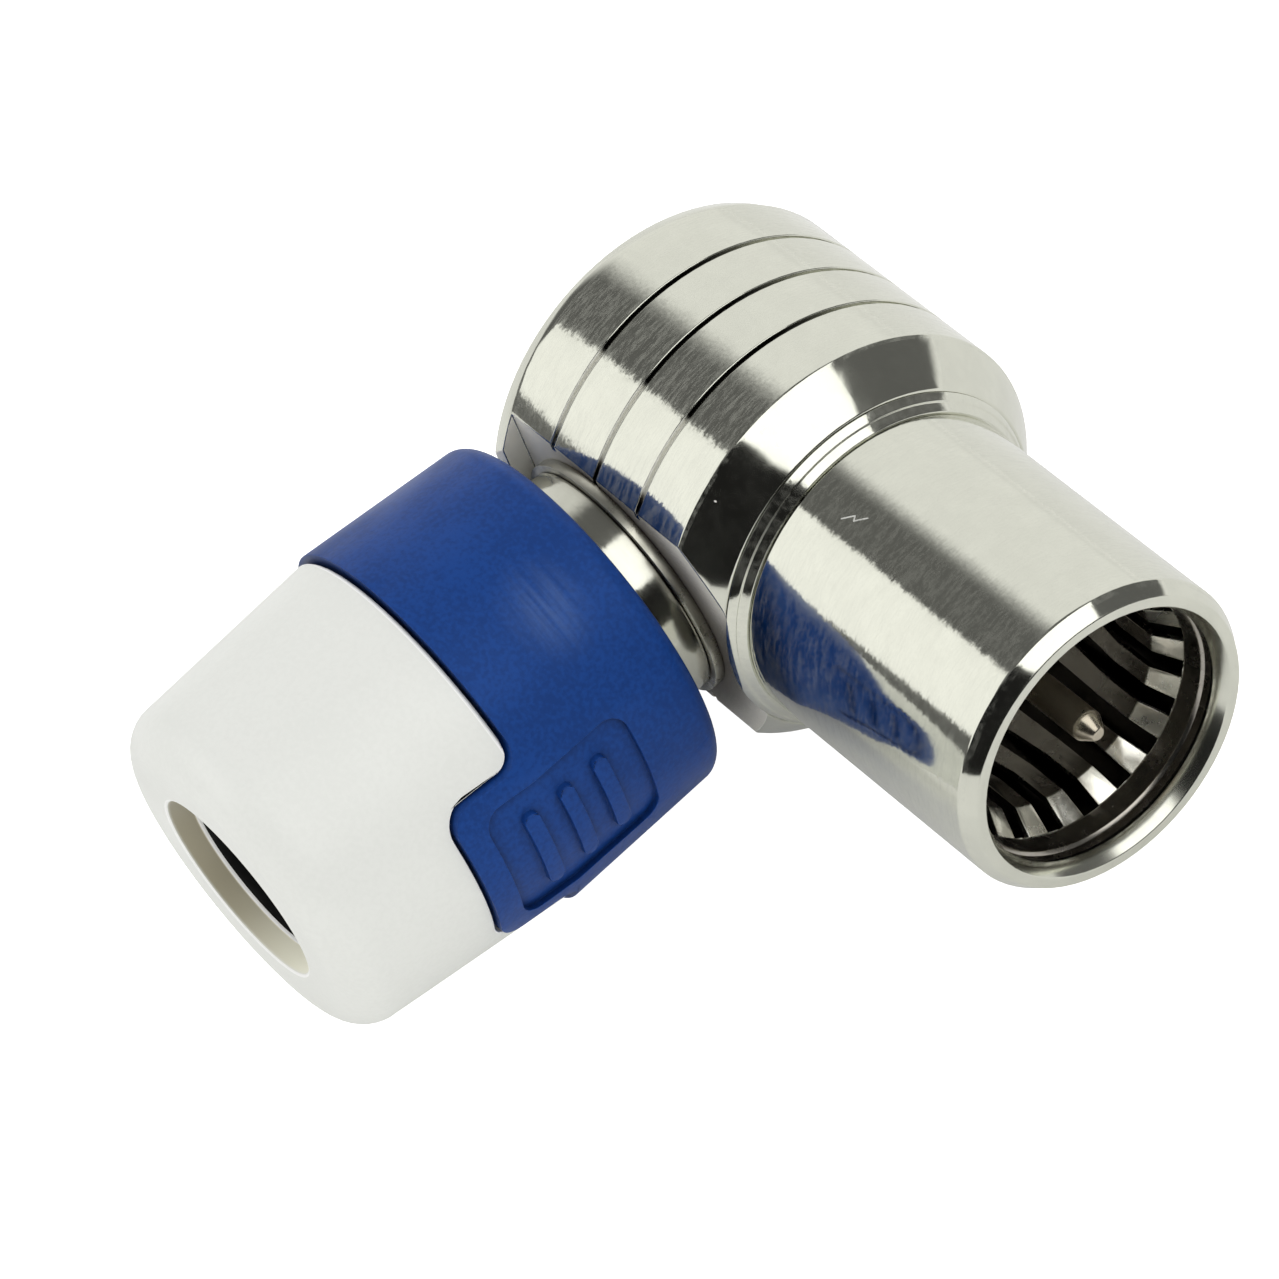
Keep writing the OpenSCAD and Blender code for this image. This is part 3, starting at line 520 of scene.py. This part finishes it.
plastics = {
    "whiteInsulator": {
        "base": (0.78, 0.77, 0.7, 1), "darker": (0.74, 0.73, 0.66, 1), "roughness": 0.45,
        "speckle": 3e-6},
    "bluePlastic": {
        "base": (0.007, 0.05, 0.25, 1), "darker": (0.0055, 0.038, 0.195, 1), "roughness": 0.42,
        "speckle": 5e-6, "shine": 0.25, "tint": (0.6, 0.8, 1, 1),
        # The darkening along the steps' feet is painted shade.
        "creviceShade": {"reach": 0.5 * mm, "least": 0.35, "colour": (0.002, 0.006, 0.03, 1)},
        # The light patch round the collar is a painted highlight.
        "paintedSheen": {"depth": -11.6 * mm, "turn": 34.3, "inset": 0.36 * mm, "strength": 0.22,
                "reach": (2.6 * mm, 2.0 * mm, 2.4 * mm), "colour": (0.2, 0.3, 0.55, 1)}},
    "whitePlastic": {
        "base": (0.8, 0.81, 0.77, 1), "darker": (0.78, 0.79, 0.75, 1), "roughness": 0.4,
        "speckle": 1.5e-6,
        # The bore's shaded and lit beige is painted shade and light, its edge colour a painted
        # highlight, and its dark colour painted shade.
        "bore": {"mouth": 4.05 * mm, "wall": 0.93 * mm, "chamber": 5.6 * mm, "side": 3.2 * mm,
                 "shaded": (0.32, 0.29, 0.2, 1), "lit": (0.88, 0.87, 0.71, 1),
                 "edge": (0.85, 0.8, 0.66, 1), "paintedShade": (0.006, 0.005, 0.006, 1)}},
    # A lighter white for the cap's rounded edges, as a painted highlight.
    "capEdgeHighlight": {
        "base": (0.97, 0.97, 0.95, 1), "darker": (0.94, 0.94, 0.92, 1), "roughness": 0.4,
        "speckle": 1.5e-6},
    "blackPlastic": {
        "base": (0.012, 0.011, 0.012, 1), "darker": (0.008, 0.008, 0.008, 1), "roughness": 0.4,
        "speckle": 3e-6},
}


def sheenStreaks(tree, spot, paintedSheen):
    # A painted highlight: a light patch, broken into fine lines, that runs round the collar.
    a, radius = math.radians(paintedSheen["turn"]), collarRadius - paintedSheen["inset"]
    centre = (cableX + radius * math.sin(a), paintedSheen["depth"], radius * math.cos(a))
    near = vectors(tree, "SUBTRACT", spot, centre)
    near = vectors(tree, "MULTIPLY", near, tuple(1 / c for c in paintedSheen["reach"]))
    near = vectors(tree, "LENGTH", near, out="Value")
    lines = addNode(tree, "ShaderNodeMapping", {"Vector": spot, "Scale": (250, 3600, 250)}).outputs[0]
    return product(tree, ramp(tree, near, 0.0, 1.0, paintedSheen["strength"], 0.0),
                   ramp(tree, noise(tree, lines, 1.0, 3.0), 0.2, 0.8))


def cableBore(tree, at, colour, bore):
    # Painted shade and light: the cable's bore wall runs from a shaded to a lit beige across the hole, a
    # painted highlight line lies at the end wall's inner edge, and the grip chamber behind the end wall
    # is painted dark as shade.
    side = maths(tree, "SUBTRACT", at["X"], cableX)
    across = maths(tree, "SQRT", maths(tree, "MULTIPLY_ADD", side, side,
                                       maths(tree, "MULTIPLY", at["Z"], at["Z"])))
    wallEnd = capEnd + bore["wall"]
    beigeWithPaintedShade = mixColour(tree, ramp(tree, side, -bore["side"], bore["side"]), bore["shaded"], bore["lit"])
    inHole = ramp(tree, across, bore["mouth"] - 0.1 * mm, bore["mouth"], 1.0, 0.0)
    colour = mixColour(tree, inHole, colour, beigeWithPaintedShade)
    line = ramp(tree, at["Y"], wallEnd - 0.14 * mm, wallEnd - 0.08 * mm)
    colour = mixColour(tree, product(tree, line, inHole), colour, bore["edge"])
    deep = product(tree, ramp(tree, at["Y"], wallEnd - 0.04 * mm, wallEnd),
                   ramp(tree, across, bore["chamber"], bore["chamber"] + 0.05 * mm, 1.0, 0.0))
    return mixColour(tree, deep, colour, bore["paintedShade"])


def mouldedPlastic(name):
    look = plastics[name]
    material, tree, shader = newMaterial(name)
    spot = coordinates(tree, "Object")
    fine = noise(tree, spot, 5200.0, 2.0)
    broad = noise(tree, spot, 260.0, 3.0)
    mottle = maths(tree, "MULTIPLY_ADD", fine, 0.6, maths(tree, "MULTIPLY", broad, 0.4))
    colour = mixColour(tree, ramp(tree, mottle, 0.38, 0.62), look["darker"], look["base"])
    shader.inputs["Specular IOR Level"].default_value = look.get("shine", 0.5)
    shader.inputs["Specular Tint"].default_value = look.get("tint", (1, 1, 1, 1))
    if "creviceShade" in look:
        # Painted shade: the colour darkens along the foot of each step, where the ambient-occlusion test
        # finds the surface enclosed.
        creviceShade = look["creviceShade"]
        unshaded = ramp(tree, openness(tree, creviceShade["reach"]), 0.45, 0.95, creviceShade["least"], 1.0)
        colour = mixColour(tree, unshaded, creviceShade["colour"], colour)
    if "paintedSheen" in look:
        # Painted highlight: a light patch round the collar.
        colour = mixColour(tree, sheenStreaks(tree, spot, look["paintedSheen"]), colour, look["paintedSheen"]["colour"])
    if "bore" in look:
        colour = cableBore(tree, separated(tree, spot), colour, look["bore"])
    roughness = ramp(tree, broad, 0.3, 0.7, look["roughness"] * 1.15, look["roughness"] * 0.9)
    bump = addNode(tree, "ShaderNodeBump",
                   {"Height": fine, "Distance": look["speckle"], "Strength": 1.0})
    for label, value in (("Base Color", colour), ("Roughness", roughness), ("Normal", bump.outputs[0])):
        tree.links.new(value, shader.inputs[label])
    return material


finishes = {name: platedMetal(name) for name in metals}
finishes.update({name: mouldedPlastic(name) for name in plastics})
nodeFinish = {
    "elbow_body": "bodyNickel", "rear_cap": "bodyNickel", "coupling_sleeve": "sleeveNickel",
    "shoulder_ring": "sleeveNickel", "contact_cage": "springNickel", "cage_keeper": "springNickel",
    "front_insulator": "whiteInsulator", "insulator_ring": "sleeveNickel", "centre_pin": "contactBrass",
    "contact_block": "contactBrass", "wire_clip": "contactBrass", "chamber_insulator": "whiteInsulator",
    "neck_tube": "neckNickel", "neck_washer": "washerNickel", "guide_bush": "whiteInsulator",
    "ferrule": "neckNickel", "lock_ring": "neckNickel", "clamp_collar": "bluePlastic",
    "clamp_sleeve": "blackPlastic", "clamp_cap": "whitePlastic"}
for name, finish in nodeFinish.items():
    nodes[name].data.materials.clear()
    nodes[name].data.materials.append(finishes[finish])
print("finishes on the CAD nodes")

# The pieces that show are copied, and their sharp edges get the small radius that turning,
# plating or moulding leaves. Widths are in millimetres.
softEdges = {
    "elbow_body": {"piece": "elbow", "body": "plug", "slot": "plated_body", "edge": 0.06},
    "rear_cap": {"piece": "closingDisc", "body": "plug", "slot": "plated_body", "edge": 0.06},
    "coupling_sleeve": {"piece": "barrel", "body": "plug", "slot": "plated_sleeve", "edge": 0.06},
    "shoulder_ring": {"piece": "shoulder", "body": "plug", "slot": "plated_sleeve", "edge": 0.025},
    "contact_cage": {"piece": "springCage", "body": "plug", "slot": "spring_sheet", "edge": 0.03},
    "centre_pin": {"piece": "pin", "body": "plug", "slot": "contact_metal", "edge": 0.08},
    "neck_tube": {"piece": "neck", "body": "plug", "slot": "plated_body", "edge": 0.02},
    "neck_washer": {"piece": "washer", "body": "plug", "slot": "plated_body", "edge": 0.02},
    "clamp_collar": {"piece": "collar", "body": "plug", "slot": "blue_plastic", "edge": 0.03},
    "clamp_sleeve": {"piece": "jaws", "body": "plug", "slot": "black_plastic", "edge": 0.05},
    "clamp_cap": {"piece": "cap", "body": "cap", "slot": "white_plastic", "edge": 0.07,
                  "highlightFinish": "capEdgeHighlight"},
}


def softened(node, look, sharpest=28.0):
    bm = bmesh.new()
    bm.from_mesh(nodes[node].data)
    bmesh.ops.remove_doubles(bm, verts=bm.verts, dist=0.0005 * mm)
    bmesh.ops.dissolve_limit(bm, angle_limit=math.radians(0.5), use_dissolve_boundaries=False,
                             verts=bm.verts, edges=bm.edges)
    for face in bm.faces:
        face.smooth = True
    mesh = bpy.data.meshes.new(look["piece"])
    bm.to_mesh(mesh)
    bm.free()
    for leftover in ("custom_normal", "sharp_edge", "sharp_face"):
        if leftover in mesh.attributes:
            mesh.attributes.remove(mesh.attributes[leftover])
    mesh.materials.append(finishes[nodeFinish[node]])
    piece = bpy.data.objects.new(look["piece"], mesh)
    scene.collection.objects.link(piece)
    bevel = piece.modifiers.new("edges", "BEVEL")
    bevel.width = look["edge"] * mm
    bevel.segments = 3
    bevel.limit_method = "ANGLE"
    bevel.angle_limit = math.radians(sharpest)
    bevel.use_clamp_overlap = False
    # Painted highlight: the rounded edges get the lighter white finish.
    if "highlightFinish" in look:
        mesh.materials.append(finishes[look["highlightFinish"]])
        bevel.material = 1
    piece.modifiers.new("shading", "WEIGHTED_NORMAL").weight = 50
    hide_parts(node)
    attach(piece, look["body"])
    return piece


for node, look in softEdges.items():
    piece = softened(node, look)
    print(look["piece"], len(piece.data.polygons), "faces before its edges are rounded")
